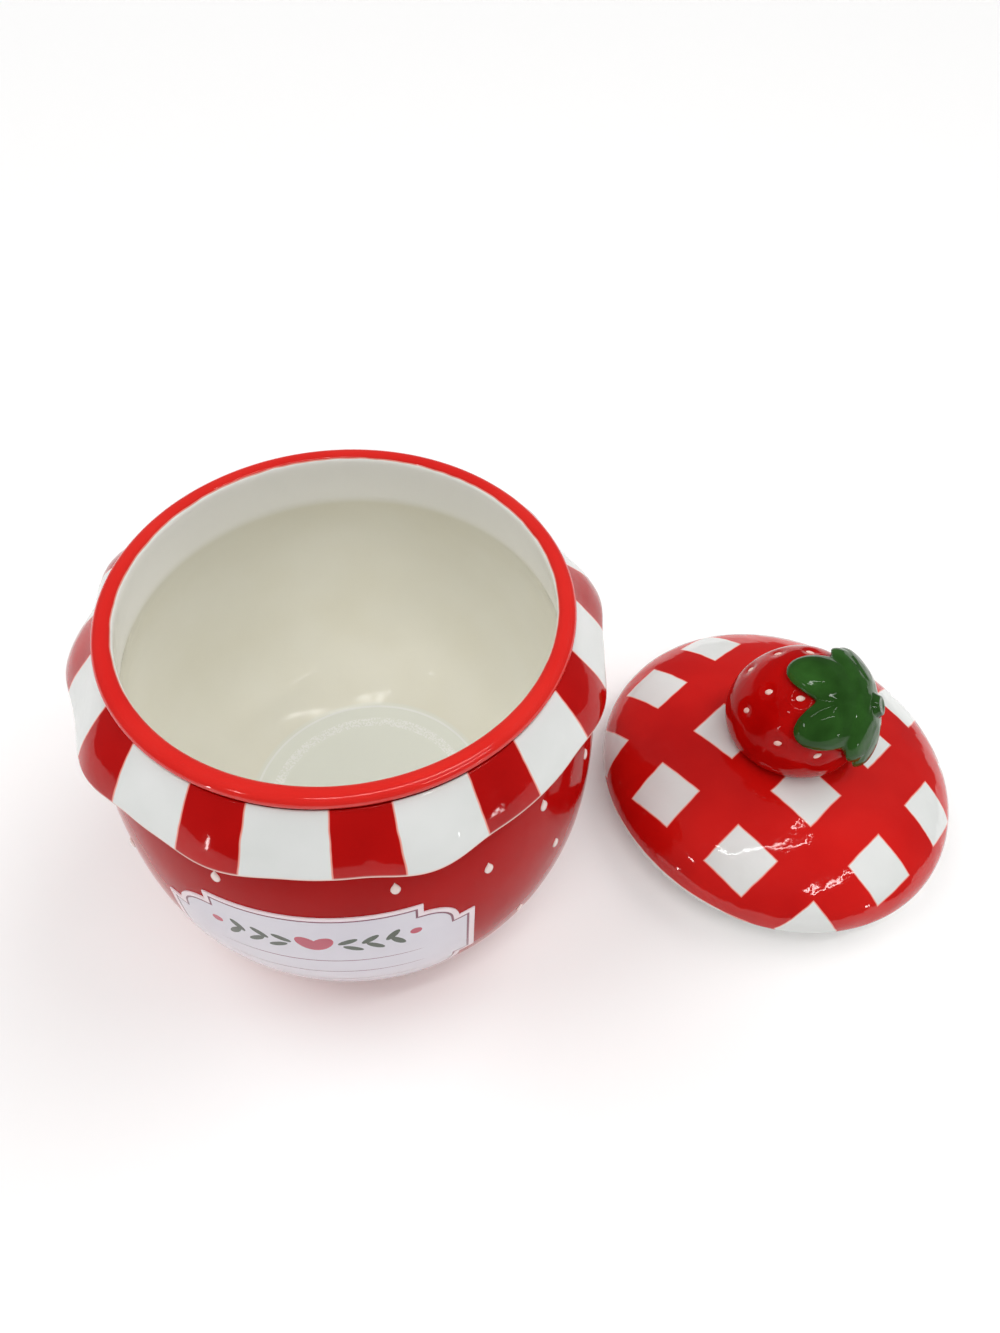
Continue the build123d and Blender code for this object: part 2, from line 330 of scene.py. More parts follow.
# Each crest of the hem is (azimuth in degrees, reach beyond the hollows).
crests = (
    (-139, 1.9),
    (-105, 1.2),
    (-65, 2.1),
    (-15, 1.6),
    (18, 2),
    (48, 2.4),
    (85, 1.7),
    (125, 1.9),
    (165, 3.2),
    (192, 1.8),
)
highest_crest = max(reach for _, reach in crests)
crest_half = 14
wave_cylinder = 200
wave_start = 1
wave_fade = 5
bare_hem = 0.6

collar_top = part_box("ruffle_collar")[1][2] / MM
collar_radius = neck_radius + 0.4
hem_height = collar_top - 12.2
hem_radius = neck_radius + 9.05

skirt_rows = [
    (collar_radius + 0.5, collar_top - 0.3),
    (collar_radius + 1.6, collar_top - 1.6),
    (collar_radius + 3.2, collar_top - 3.8),
    (collar_radius + 5.1, collar_top - 6.4),
    (collar_radius + 7.1, collar_top - 9.2),
    (hem_radius - 0.2, collar_top - 11.6),
]
hem_rows = [
    (hem_radius, hem_height),
    (hem_radius - 0.3, hem_height - 0.7),
    (hem_radius - 1.2, hem_height - 0.9),
    (hem_radius - 3.4, hem_height - 0.3),
    (hem_radius - 5, hem_height + 2),
    (collar_radius - 0.2, collar_top - 3),
]


def add_rows(rows, last_radius, last_height):
    """Extrude the selected ring from row to row of (radius, height), about the pot's axis."""
    for radius, height in rows:
        drop = (0, 0, (height - last_height) * MM)
        bpy.ops.mesh.extrude_edges_move(TRANSFORM_OT_translate={"value": drop})
        widen = radius / last_radius
        bpy.ops.transform.resize(value=(widen, widen, 1), center_override=(0, 0, height * MM))
        last_radius, last_height = radius, height


bpy.ops.object.select_all(action="DESELECT")
bpy.ops.mesh.primitive_circle_add(
    vertices=collar_sides,
    radius=collar_radius * MM,
    location=(0, 0, collar_top * MM),
)
collar = bpy.context.active_object
collar.name = "collar_striped"
bpy.ops.object.transform_apply(location=True, rotation=True, scale=True)
bpy.ops.object.mode_set(mode="EDIT")
bpy.ops.mesh.select_all(action="SELECT")
add_rows(skirt_rows + hem_rows, collar_radius, collar_top)
bpy.ops.mesh.select_all(action="DESELECT")
bpy.ops.mesh.select_mode(type="EDGE")
bpy.ops.mesh.select_non_manifold()
bpy.ops.mesh.bridge_edge_loops()
bpy.ops.mesh.select_mode(type="VERT")
bpy.ops.mesh.select_all(action="SELECT")
bpy.ops.mesh.normals_make_consistent(inside=False)
bpy.ops.object.mode_set(mode="OBJECT")
waves = collar.vertex_groups.new(name="waves")
for vertex in collar.data.vertices:
    azimuth = atan2(vertex.co.y, vertex.co.x)
    fall = min(max((collar_top - wave_start - vertex.co.z / MM) / wave_fade, 0), 1)
    swell = 0
    for crest, reach in crests:
        off_crest = abs((azimuth - radians(crest) + pi) % TURN - pi) / radians(crest_half)
        swell = max(swell, reach / highest_crest * (0.5 + 0.5 * cos(pi * min(off_crest, 1))))
    waves.add([vertex.index], swell * fall, "REPLACE")
flute = collar.modifiers.new("flute", "CAST")
flute.cast_type = "CYLINDER"
flute.vertex_group = waves.name
flute.use_radius_as_size = False
flute.radius = 0
flute.size = wave_cylinder * MM
flute.factor = highest_crest / (wave_cylinder - hem_radius)
bpy.ops.object.modifier_apply(modifier=flute.name)
smooth_form(collar, 1)

tree, place, surface = start_glaze(collar, "striped_glaze", ripple_height=0.25, shine=0.3)
red = cloud_paint(tree, place, "#ba0a08", "#a60403", width=18)
white = cloud_paint(tree, place, "#e3e4e2", "#dcdedb", width=14)
axes = add_node(tree, "ShaderNodeSeparateXYZ", {"Vector": place}).node.outputs
turn = add_node(tree, "ShaderNodeMath", {0: axes["Y"], 1: axes["X"]}, operation="ARCTAN2")
from_first = add_node(tree, "ShaderNodeMath", {0: turn, 1: first_stripe}, operation="SUBTRACT")
wrap = {0: from_first, 1: -pi / STRIPES, 2: pi / STRIPES}
from_stripe = add_node(tree, "ShaderNodeMath", wrap, operation="WRAP")
off_stripe = add_node(tree, "ShaderNodeMath", {0: from_stripe}, operation="ABSOLUTE")
stripe_radius = rim_radius + 4
red_half = radians(6.6)
arc = {0: off_stripe, 1: stripe_radius, 2: -red_half * stripe_radius}
past_stripe = add_node(tree, "ShaderNodeMath", arc, operation="MULTIPLY_ADD")
stripes = meet_paints(tree, place, past_stripe, red, white)
hem_border = (hem_height + bare_hem) * MM
above_hem = {"Value": axes["Z"], "From Min": hem_height * MM, "From Max": hem_border}
covered = add_node(tree, "ShaderNodeMapRange", above_hem, interpolation_type="SMOOTHSTEP")
pale_hem = {0: covered, 6: linear("#f0cfc6"), 7: stripes}
hemmed = add_node(tree, "ShaderNodeMix", pale_hem, output=2, data_type="RGBA")
tree.links.new(hemmed, surface.inputs["Base Color"])

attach(collar, "pot")
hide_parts("ruffle_collar")


# Label: a thin printed transfer fired onto the front of the belly, with stepped and lobed corners.
# A plum line runs inside its pale margin. The panel has a heart between two sprays and lines to write on.

label_low, label_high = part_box("label")
label_half_width = label_high[0] / MM
label_half_height = (label_high[2] - label_low[2]) / 2 / MM
label_middle = (label_high[2] + label_low[2]) / 2 / MM
label_step = 3.3
label_lobe = 7.3
label_spike = 0.2
label_thickness = 0.3
label_margin = 1.15
label_line = 0.5
plateau_half = label_half_width - label_step - label_lobe
shoulder = label_half_height - label_step - label_lobe
cut_spacing = 2.2
standoff = 20
glaze_film = 0.02

LINE = 1
PANEL = 2

label = start_point()
label.name = "label_printed"
label.location = (0, -(belly_radius + standoff) * MM, label_middle * MM)
bpy.ops.transform.translate(value=(0, 0, label_half_height * MM))
bpy.ops.mesh.extrude_vertices_move(TRANSFORM_OT_translate={"value": (plateau_half * MM, 0, 0)})
bpy.ops.mesh.extrude_vertices_move(TRANSFORM_OT_translate={"value": (0, 0, -label_step * MM)})
lobe_centre = label.location + Vector((plateau_half, 0, shoulder)) * MM
bpy.ops.mesh.spin(steps=10, angle=-pi / 2, center=lobe_centre, axis=(0, 1, 0))
to_corner = (label_step * MM, 0, label_spike * MM)
bpy.ops.mesh.extrude_vertices_move(TRANSFORM_OT_translate={"value": to_corner})
to_side = (0, 0, -(shoulder + label_spike) * MM)
bpy.ops.mesh.extrude_vertices_move(TRANSFORM_OT_translate={"value": to_side})
bpy.ops.object.mode_set(mode="OBJECT")
mirror = label.modifiers.new("mirror", "MIRROR")
mirror.use_axis = (True, False, True)
mirror.merge_threshold = 0.05 * MM
bpy.ops.object.modifier_apply(modifier=mirror.name)
bpy.ops.object.mode_set(mode="EDIT")
bpy.ops.mesh.select_all(action="SELECT")
bpy.ops.mesh.edge_face_add()
outline = bmesh.from_edit_mesh(label.data)
zone = outline.faces.layers.int.new("zone")
for inset, inner_zone in ((label_margin, LINE), (label_line, PANEL)):
    bpy.ops.mesh.inset(thickness=inset * MM, use_even_offset=True)
    outline = bmesh.from_edit_mesh(label.data)
    zone = outline.faces.layers.int["zone"]
    for face in outline.faces:
        if face.select:
            face[zone] = inner_zone
    bmesh.update_edit_mesh(label.data)
for half, direction in ((label_half_width, Vector((1, 0, 0))), (label_half_height, Vector((0, 0, 1)))):
    cuts = int(half / cut_spacing)
    for cut in range(-cuts, cuts + 1):
        bpy.ops.mesh.select_all(action="SELECT")
        cut_place = label.location + direction * cut * cut_spacing * MM
        bpy.ops.mesh.bisect(plane_co=cut_place, plane_no=direction)
bpy.ops.mesh.select_all(action="SELECT")
bpy.ops.mesh.normals_make_consistent(inside=False)
bpy.ops.object.mode_set(mode="OBJECT")
if label.data.polygons[0].normal.y > 0:
    label.data.flip_normals()
wrap_on = label.modifiers.new("wrap", "SHRINKWRAP")
wrap_on.target = pot
wrap_on.wrap_method = "PROJECT"
wrap_on.wrap_mode = "ABOVE_SURFACE"
wrap_on.use_project_y = True
wrap_on.offset = label_thickness * MM
bpy.ops.object.modifier_apply(modifier=wrap_on.name)
bpy.ops.object.transform_apply(location=True, rotation=True, scale=True)
wall = label.modifiers.new("wall", "SOLIDIFY")
wall.thickness = (label_thickness - glaze_film) * MM
wall.offset = -1
bpy.ops.object.modifier_apply(modifier=wall.name)
bpy.ops.object.shade_smooth_by_angle(angle=radians(40))

PLUM = "#7b3b52"
LEAF_INK = "#37442f"
ROSE_INK = "#b8354f"

# Each printed oval is (across, up, half width, half length, lean in degrees, ink) from the middle. It is so
# deep that it prints through the curve of the belly.
oval_depth = 10
heart = [(side * 1.5, 10.6, 2.1, 3.5, side * 38, ROSE_INK) for side in (-1, 1)]
sprays = []
for side in (-1, 1):
    for pair, lean in ((0, 62), (1, 48), (2, 34)):
        across = side * (7.2 + 4.8 * pair)
        sprays.append((across, 11.6 + 0.4 * pair, 0.9, 2.4, side * lean, LEAF_INK))
        sprays.append((across + side, 8.4 + 0.5 * pair, 0.9, 2.4, side * (180 - lean), LEAF_INK))
    sprays.append((side * 21.6, 11.8, 1.25, 1.25, 0, ROSE_INK))
writing_lines = [(0, up, 23, 0.2, 0, PLUM) for up in (1.5, -6, -13.5)]

tree, place, surface = start_glaze(label, "printed_glaze", ripple_height=0.015)
panel = cloud_paint(tree, place, "#dcd8e0", "#d5d0da", width=20)
for across, up, half_across, half_along, lean, ink in heart + sprays + writing_lines:
    oval = {
        "Vector": place,
        "Location": (across * MM, 0, (label_middle + up) * MM),
        "Rotation": (0, radians(lean), 0),
        "Scale": (half_across * MM, oval_depth, half_along * MM),
    }
    local = add_node(tree, "ShaderNodeMapping", oval, vector_type="TEXTURE")
    reach = add_node(tree, "ShaderNodeVectorMath", {0: local}, output="Value", operation="LENGTH")
    inked = add_node(tree, "ShaderNodeMath", {0: reach, 1: 1}, operation="LESS_THAN")
    stamped = {0: inked, 6: panel, 7: linear(ink)}
    panel = add_node(tree, "ShaderNodeMix", stamped, output=2, data_type="RGBA")
zones = add_node(tree, "ShaderNodeAttribute", {}, output="Fac", attribute_name="zone")
on_line = add_node(tree, "ShaderNodeMath", {0: zones, 1: LINE - 0.5}, operation="GREATER_THAN")
on_panel = add_node(tree, "ShaderNodeMath", {0: zones, 1: PANEL - 0.5}, operation="GREATER_THAN")
bordered = {0: on_line, 6: linear("#ecdbe0"), 7: linear(PLUM)}
border = add_node(tree, "ShaderNodeMix", bordered, output=2, data_type="RGBA")
printed = add_node(tree, "ShaderNodeMix", {0: on_panel, 6: border, 7: panel}, output=2, data_type="RGBA")
tree.links.new(printed, surface.inputs["Base Color"])

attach(label, "pot")
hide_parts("label")


# Pot seeds: small raised teardrops of white slip, trailed onto the belly in staggered rows round the pot.
# They miss the label, and the red glaze laps their edges.

SEEDS_AROUND = 10
seed_width = 2.3
seed_length = 3.9
seed_relief = 0.5
# Each row is (height, azimuth of its first seed in degrees).
seed_rows = ((72, -72.3), (66, -52.5), (50.5, -32), (31.5, -42.5), (18, -61))


def select_where(form, test):
    """In edit mode, select just the vertices that pass a test on their index and place."""
    bpy.ops.mesh.select_all(action="DESELECT")
    grid = bmesh.from_edit_mesh(form.data)
    grid.verts.ensure_lookup_table()
    for vertex in grid.verts:
        vertex.select = bool(test(vertex))
    grid.select_flush_mode()
    bmesh.update_edit_mesh(form.data)


bpy.ops.object.select_all(action="DESELECT")
bpy.ops.mesh.primitive_uv_sphere_add(segments=20, ring_count=12, radius=1, rotation=(pi / 2, 0, 0))
drop = bpy.context.active_object
drop.scale = (seed_width / 2 * MM, seed_relief * MM, seed_length / 2 * MM)
bpy.ops.object.transform_apply(location=True, rotation=True, scale=True)
bpy.ops.object.mode_set(mode="EDIT")
for share, narrow in ((-0.2, 0.92), (0.1, 0.85), (0.4, 0.75), (0.65, 0.65), (0.85, 0.6)):
    select_where(drop, lambda vertex: vertex.co.y > share * seed_length / 2 * MM)
    bpy.ops.transform.resize(value=(narrow, 1, 1), center_override=(0, 0, 0))
bpy.ops.object.mode_set(mode="OBJECT")
bpy.ops.object.shade_smooth()


def set_copy(model, across, along, out, spot):
    """A copy of a small form with its own mesh, its X, Y and Z laid along these directions at a spot."""
    copy = model.copy()
    copy.data = model.data.copy()
    bpy.context.collection.objects.link(copy)
    copy.matrix_world = Matrix.Translation(spot) @ Matrix((across, along, out)).transposed().to_4x4()
    return copy


def join_copies(copies, name):
    """Join copies into one piece with its place in its mesh."""
    bpy.ops.object.select_all(action="DESELECT")
    for copy in copies:
        copy.select_set(True)
    bpy.context.view_layer.objects.active = copies[0]
    bpy.ops.object.join()
    bpy.ops.object.transform_apply(location=True, rotation=True, scale=True)
    bpy.context.active_object.name = name
    return bpy.context.active_object


drops = []
for height, first in seed_rows:
    for number in range(SEEDS_AROUND):
        turn = radians(first + number * 360 / SEEDS_AROUND)
        outward = Vector((cos(turn), sin(turn), 0))
        start = outward * 2 * belly_radius * MM + Vector((0, 0, height * MM))
        _, spot, normal, _ = pot.ray_cast(start, -outward)
        beside = abs(spot.x) > (label_half_width + seed_width) * MM
        over = abs(height - label_middle) > label_half_height + seed_length
        if beside or over or spot.y > 0:
            across = Vector((0, 0, 1)).cross(normal).normalized()
            drops.append(set_copy(drop, across, normal.cross(across), normal, spot))
bpy.data.objects.remove(drop)
pot_seeds = join_copies(drops, "pot_seeds_slip")

tree, place, surface = start_glaze(pot_seeds, "slip_white_glaze", ripple_height=0.01)
slip = cloud_paint(tree, place, "#f3e3de", "#ecd6cf", width=6)
tree.links.new(slip, surface.inputs["Base Color"])

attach(pot_seeds, "pot")
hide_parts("pot_seeds")


# Lid: a hollow dome of the same clay with a rounded lip, and a flange that drops into the pot's mouth.
# White squares are left in the red brushwork on top, as on checked cloth. The underside is plain white, and
# on one side the red stops short of the lip.

lid_low, lid_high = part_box("lid_shell")
lid_centre = Vector(((lid_low[0] + lid_high[0]) / 2, (lid_low[1] + lid_high[1]) / 2, 0))
lid_radius = (lid_high[0] - lid_low[0]) / 2 / MM
lid_top = lid_high[2] / MM
lip_height = 9.1
lip_round = 1.2
dome_base = lip_height + lip_round
dome_height = lid_top - dome_base
flange_clearance = 1
flange_wall = 4
lid_wall = 4.5
flange_radius = mouth_radius - flange_clearance
flange_bore = flange_radius - flange_wall
hollow_height = lid_top - lid_wall - lip_height
quarter = [radians(9 * step) for step in range(11)]

dome_run = [(lid_radius * sin(turn), dome_base + dome_height * cos(turn)) for turn in quarter]
dome_run += [(lid_radius - 0.1, dome_base - 0.6)]
under_run = [
    (lid_radius - 0.7, lip_height + 0.1),
    (lid_radius - 1.6, lip_height),
    (flange_radius + 0.6, lip_height),
    (flange_radius, lip_height - 0.6),
    (flange_radius, 1),
    (flange_radius - 0.4, 0.2),
    (flange_radius - 1.2, 0),
    (flange_bore + 1.2, 0),
    (flange_bore + 0.4, 0.2),
    (flange_bore, 1),
]
under_run += [
    (flange_bore * sin(turn), lip_height + hollow_height * cos(turn)) for turn in reversed(quarter)
]
lid = turn_form("lid_checked", dome_run + under_run, lid_centre)

# The squares keep their size over the dome, so they are laid out by the length from its top.
check_repeat = 28.3
square_half = 7
square_starts = (12.3, 14.9)
lip_border = run_length(dome_run[:-1])
bare_lip = -0.6
covered_lip = 1
bare_side = -0.75

tree, place, surface = start_glaze(lid, "checked_glaze", ripple_height=0.5)
red = cloud_paint(tree, place, "#cf1813", "#bb0c0a", width=26)
white = cloud_paint(tree, place, "#e3e4e2", "#dcdedb", width=16)
along = add_node(tree, "ShaderNodeAttribute", {}, output="Fac", attribute_name="along")
cloth = {"Vector": place, "Location": lid_centre, "Rotation": (0, 0, pi / 4), "Scale": (MM, MM, MM)}
turned = add_node(tree, "ShaderNodeMapping", cloth, vector_type="TEXTURE")
level = add_node(tree, "ShaderNodeVectorMath", {0: turned, 1: (1, 1, 0)}, operation="MULTIPLY")
bearing = add_node(tree, "ShaderNodeVectorMath", {0: level}, operation="NORMALIZE")
unrolled = add_node(tree, "ShaderNodeVectorMath", {0: bearing, "Scale": along}, operation="SCALE")
axes = add_node(tree, "ShaderNodeSeparateXYZ", {"Vector": unrolled}).node.outputs
bands = []
for axis, start in zip(("X", "Y"), square_starts):
    from_start = add_node(tree, "ShaderNodeMath", {0: axes[axis], 1: start}, operation="ADD")
    wrap = {0: from_start, 1: -check_repeat / 2, 2: check_repeat / 2}
    off_band = add_node(tree, "ShaderNodeMath", wrap, operation="WRAP")
    off_middle = add_node(tree, "ShaderNodeMath", {0: off_band}, operation="ABSOLUTE")
    bands.append(add_node(tree, "ShaderNodeMath", {0: square_half, 1: off_middle}, operation="SUBTRACT"))
into_square = add_node(tree, "ShaderNodeMath", {0: bands[0], 1: bands[1]}, operation="MINIMUM")
checks = meet_paints(tree, place, into_square, red, white)
side = add_node(tree, "ShaderNodeSeparateXYZ", {"Vector": bearing}, output="X")
reach = {"Value": side, "From Min": -1, "From Max": bare_side, "To Min": bare_lip, "To Max": covered_lip}
overlap = add_node(tree, "ShaderNodeMapRange", reach)
paint_end = add_node(tree, "ShaderNodeMath", {0: overlap, 1: lip_border}, operation="ADD")
before_lip = add_node(tree, "ShaderNodeMath", {0: paint_end, 1: along}, operation="SUBTRACT")
plain = cloud_paint(tree, place, "#e3e4e2", "#dcdedb", width=24)
tree.links.new(meet_paints(tree, place, before_lip, plain, checks), surface.inputs["Base Color"])

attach(lid, "lid")
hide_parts("lid_shell")


# Berry knob: a strawberry cast in clay and luted to the dome on its side, with a dimple for each seed.
# It is painted the same red, and the glaze pools in a fillet where it meets the dome.

berry_radius = 19
berry_tip = 21.5
berry_crown = 17.5
berry_rise = 11.3
berry_shift = -0.5
berry_lean = radians(50)
berry_turn = radians(-20)
dimple_depth = 0.8
dimple_width = 6
joint_sink = 1.3
fillet_drop = 0.5
fillet_spread = 1.07
joint_root = 0.6
# Each ring is (angle from the stem's axis, angle of its first seed, number of seeds). The berry is bare up
# to a height over the dome.
seed_rings = ((66, 33, 6), (92, 25, 8), (115.5, 38, 8))
bare_height = 10

berry_middle = lid_centre + Vector((berry_shift, 0, lid_top + berry_rise)) * MM
berry_place = (
    Matrix.Translation(berry_middle)
    @ Matrix.Rotation(berry_turn, 4, "Z")
    @ Matrix.Rotation(berry_lean, 4, "Y")
)
joint_height = lid_top - joint_sink

bpy.ops.object.select_all(action="DESELECT")
bpy.ops.mesh.primitive_uv_sphere_add(segments=96, ring_count=72, radius=berry_radius * MM)
berry = bpy.context.active_object
berry.name = "berry_red"
bpy.ops.object.mode_set(mode="EDIT")
for side, reach in ((-1, berry_tip), (1, berry_crown)):
    select_where(berry, lambda vertex: vertex.co.z * side > 0)
    bpy.ops.transform.resize(value=(1, 1, reach / berry_radius), center_override=(0, 0, 0))
bpy.ops.object.mode_set(mode="OBJECT")

seed_spots = []
for angle, first, number in seed_rings:
    for step in range(number):
        around = radians(first + step * 360 / number)
        lean = radians(angle)
        outward = Vector((sin(lean) * cos(around), sin(lean) * sin(around), cos(lean)))
        _, spot, normal, _ = berry.ray_cast(2 * outward * berry_tip * MM, -outward)
        if (berry_place @ spot).z > (lid_top + bare_height) * MM:
            seed_spots.append((spot, normal))

dimples = berry.vertex_groups.new(name="dimples")
for vertex in berry.data.vertices:
    off_seed = min((vertex.co - spot).length for spot, _ in seed_spots) / (dimple_width / 2 * MM)
    if off_seed < 1:
        dimples.add([vertex.index], (1 - off_seed**2) ** 2, "REPLACE")
press = berry.modifiers.new("press", "DISPLACE")
press.vertex_group = dimples.name
press.mid_level = 0
press.strength = -dimple_depth * MM
bpy.ops.object.modifier_apply(modifier=press.name)
berry.matrix_world = berry_place
bpy.ops.object.transform_apply(location=True, rotation=True, scale=True)
bpy.ops.object.mode_set(mode="EDIT")
bpy.ops.mesh.select_all(action="SELECT")
joint_place = (0, 0, joint_height * MM)
bpy.ops.mesh.bisect(plane_co=joint_place, plane_no=(0, 0, 1), clear_inner=True)
bpy.ops.mesh.extrude_edges_move(TRANSFORM_OT_translate={"value": (0, 0, -fillet_drop * MM)})
flare_centre = lid_centre + Vector((0, 0, joint_height * MM))
bpy.ops.transform.resize(value=(fillet_spread, fillet_spread, 1), center_override=flare_centre)
bpy.ops.mesh.extrude_edges_move(TRANSFORM_OT_translate={"value": (0, 0, -joint_root * MM)})
bpy.ops.mesh.edge_face_add()
bpy.ops.object.mode_set(mode="OBJECT")
smooth_form(berry, 1)

tree, place, surface = start_glaze(berry, "berry_red_glaze", ripple_height=0.3, shine=0.12)
red = cloud_paint(tree, place, "#ba0c09", "#a40504", width=14)
tree.links.new(red, surface.inputs["Base Color"])

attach(berry, "lid")
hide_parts("berry_knob")


# Berry seeds: oval dabs of pale slip, one in each dimple of the berry, longer towards the stem.

pip_width = 1.6
pip_length = 2.5
pip_relief = 0.45
pip_sink = 0.1
pip_taper = 0.8

bpy.ops.object.select_all(action="DESELECT")
bpy.ops.mesh.primitive_uv_sphere_add(segments=20, ring_count=12, radius=1)
pip = bpy.context.active_object
pip.scale = (pip_width / 2 * MM, pip_length / 2 * MM, pip_relief * MM)
bpy.ops.object.transform_apply(location=True, rotation=True, scale=True)
bpy.ops.object.mode_set(mode="EDIT")
select_where(pip, lambda vertex: vertex.co.y > pip_length / 4 * MM)
bpy.ops.transform.resize(value=(pip_taper, 1, 1), center_override=(0, 0, 0))
bpy.ops.object.mode_set(mode="OBJECT")
bpy.ops.object.shade_smooth()
pips = []
onto_lid = berry_place.to_3x3()
for spot, normal in seed_spots:
    floor = berry_place @ (spot - normal * (dimple_depth - pip_sink) * MM)
    across = Vector((0, 0, 1)).cross(normal).normalized()
    along = normal.cross(across)
    pips.append(set_copy(pip, onto_lid @ across, onto_lid @ along, onto_lid @ normal, floor))
bpy.data.objects.remove(pip)
berry_seeds = join_copies(pips, "berry_seeds_slip")

tree, place, surface = start_glaze(berry_seeds, "pip_pale_glaze", ripple_height=0.01)
slip = cloud_paint(tree, place, "#f3d8ce", "#ecc3b7", width=3)
tree.links.new(slip, surface.inputs["Base Color"])

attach(berry_seeds, "lid")
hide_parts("berry_seeds")


# Calyx: six thick clay leaves pressed onto the berry's crown and smoothed into one cap.
# The green glaze is brushed on thinner here and thicker there, in darker and lighter patches.

LEAF_SIDES = 40
leaf_tip = tan(radians(75))
leaf_root = tan(radians(22))
leaf_side = tan(radians(31))
leaf_thickness = 1.9
leaf_crown = 1.6
leaf_sink = 0.2
fuse_size = 0.35
leaf_plane = berry_crown * MM
leaf_middle = Vector(((leaf_tip - leaf_root) / 2 * leaf_plane, 0, leaf_plane))
# Each leaf is (angle round the stem, degrees that it is drawn up towards the stem, lift off the berry).
# The two broad leaves are laid from copies that overlap.
leaf_set = (
    (5, 0, 0),
    (50, 6, 0),
    (102, 25, 0.5),
    (124, 26, 0.6),
    (144, 26, 0.4),
    (190, 1, 0),
    (243, 2, 0),
    (291, 28, 0.9),
    (313, 25, 1),
)

bpy.ops.object.select_all(action="DESELECT")
bpy.ops.mesh.primitive_circle_add(vertices=LEAF_SIDES, radius=1, fill_type="NOTHING")
leaf = bpy.context.active_object
leaf.scale = ((leaf_tip + leaf_root) / 2 * leaf_plane, leaf_side * leaf_plane, 1)
leaf.location = leaf_middle
bpy.ops.object.transform_apply(location=True, rotation=True, scale=True)
bpy.ops.object.mode_set(mode="EDIT")
bpy.ops.mesh.select_all(action="SELECT")
for shrink in (0.9, 0.85, 0.78, 0.65, 0.5):
    bpy.ops.mesh.extrude_edges_move()
    bpy.ops.transform.resize(value=(shrink, shrink, 1), center_override=leaf_middle)
bpy.ops.mesh.edge_face_add()
bpy.ops.mesh.select_all(action="SELECT")
bpy.ops.mesh.normals_make_consistent(inside=False)
bpy.ops.object.mode_set(mode="OBJECT")
if leaf.data.polygons[0].normal.z < 0:
    leaf.data.flip_normals()
onto_berry = leaf.modifiers.new("onto_berry", "CAST")
onto_berry.factor = 1
onto_berry.use_radius_as_size = False
onto_berry.size = (berry_radius - leaf_sink) * MM
onto_berry.radius = 0
bpy.ops.object.modifier_apply(modifier=onto_berry.name)
bpy.ops.object.mode_set(mode="EDIT")
for ring, rise in ((2, 0.5), (3, 0.3), (4, 0.2)):
    select_where(leaf, lambda vertex: vertex.index >= ring * LEAF_SIDES)
    bpy.ops.transform.shrink_fatten(value=rise * leaf_crown * MM)
bpy.ops.object.mode_set(mode="OBJECT")
body = leaf.modifiers.new("body", "SOLIDIFY")
body.thickness = leaf_thickness * MM
body.offset = 1
bpy.ops.object.modifier_apply(modifier=body.name)
leaves = []
for leaf_turn, drawn_up, lift in leaf_set:
    lay = Matrix.Rotation(radians(leaf_turn), 3, "Z") @ Matrix.Rotation(-radians(drawn_up), 3, "Y")
    across, along, out = lay.transposed()
    leaves.append(set_copy(leaf, across, along, out, lay @ leaf_middle.normalized() * lift * MM))
bpy.data.objects.remove(leaf)
calyx = join_copies(leaves, "calyx_green")
calyx.scale = (1, 1, berry_crown / berry_radius)
bpy.ops.object.transform_apply(location=True, rotation=True, scale=True)
fuse = calyx.modifiers.new("fuse", "REMESH")
fuse.mode = "VOXEL"
fuse.voxel_size = fuse_size * MM
bpy.ops.object.modifier_apply(modifier=fuse.name)
ease = calyx.modifiers.new("ease", "SMOOTH")
ease.factor = 0.5
ease.iterations = 7
bpy.ops.object.modifier_apply(modifier=ease.name)
calyx.matrix_world = berry_place
bpy.ops.object.transform_apply(location=True, rotation=True, scale=True)
bpy.ops.object.shade_smooth()

tree, place, surface = start_glaze(calyx, "leaf_green_glaze", ripple_height=0.4, shine=0.25)
green = cloud_paint(tree, place, "#2c561f", "#1b3c0f", width=9)
tree.links.new(green, surface.inputs["Base Color"])

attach(calyx, "lid")
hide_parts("calyx")


# Stem: a stub of clay stuck on the calyx with a spread foot, pressed in at its end, in the same green.

stem_radius = 2.8
stem_foot = 6.4
stem_base = berry_crown + 0.8
stem_end = berry_crown + 4.6
stem_droop = radians(4)
foot_rise = 3
end_border = 1
end_dimple = 0.3
dimple_share = 0.6
tolerance = 0.1

bpy.ops.object.select_all(action="DESELECT")
bpy.ops.mesh.primitive_cylinder_add(
    vertices=24,
    radius=stem_radius * MM,
    depth=(stem_end - stem_base) * MM,
    location=(0, 0, (stem_base + stem_end) / 2 * MM),
)
stem = bpy.context.active_object
stem.name = "stem_green"
bpy.ops.object.transform_apply(location=True, rotation=True, scale=True)
bpy.ops.object.mode_set(mode="EDIT")
select_where(stem, lambda vertex: vertex.co.z > (stem_end - tolerance) * MM)
bpy.ops.mesh.inset(thickness=end_border * MM)
bpy.ops.mesh.extrude_region_move(TRANSFORM_OT_translate={"value": (0, 0, -end_dimple * MM)})
bpy.ops.transform.resize(value=(dimple_share, dimple_share, 1), center_override=(0, 0, 0))
bpy.ops.mesh.select_all(action="SELECT")
flare_place = (0, 0, (stem_base + foot_rise) * MM)
bpy.ops.mesh.bisect(plane_co=flare_place, plane_no=(0, 0, 1))
select_where(stem, lambda vertex: vertex.co.z < (stem_base + tolerance) * MM)
foot_spread = stem_foot / stem_radius
bpy.ops.transform.resize(value=(foot_spread, foot_spread, 1), center_override=(0, 0, 0))
bpy.ops.object.mode_set(mode="OBJECT")
stem.matrix_world = berry_place @ Matrix.Rotation(stem_droop, 4, "Y")
bpy.ops.object.transform_apply(location=True, rotation=True, scale=True)
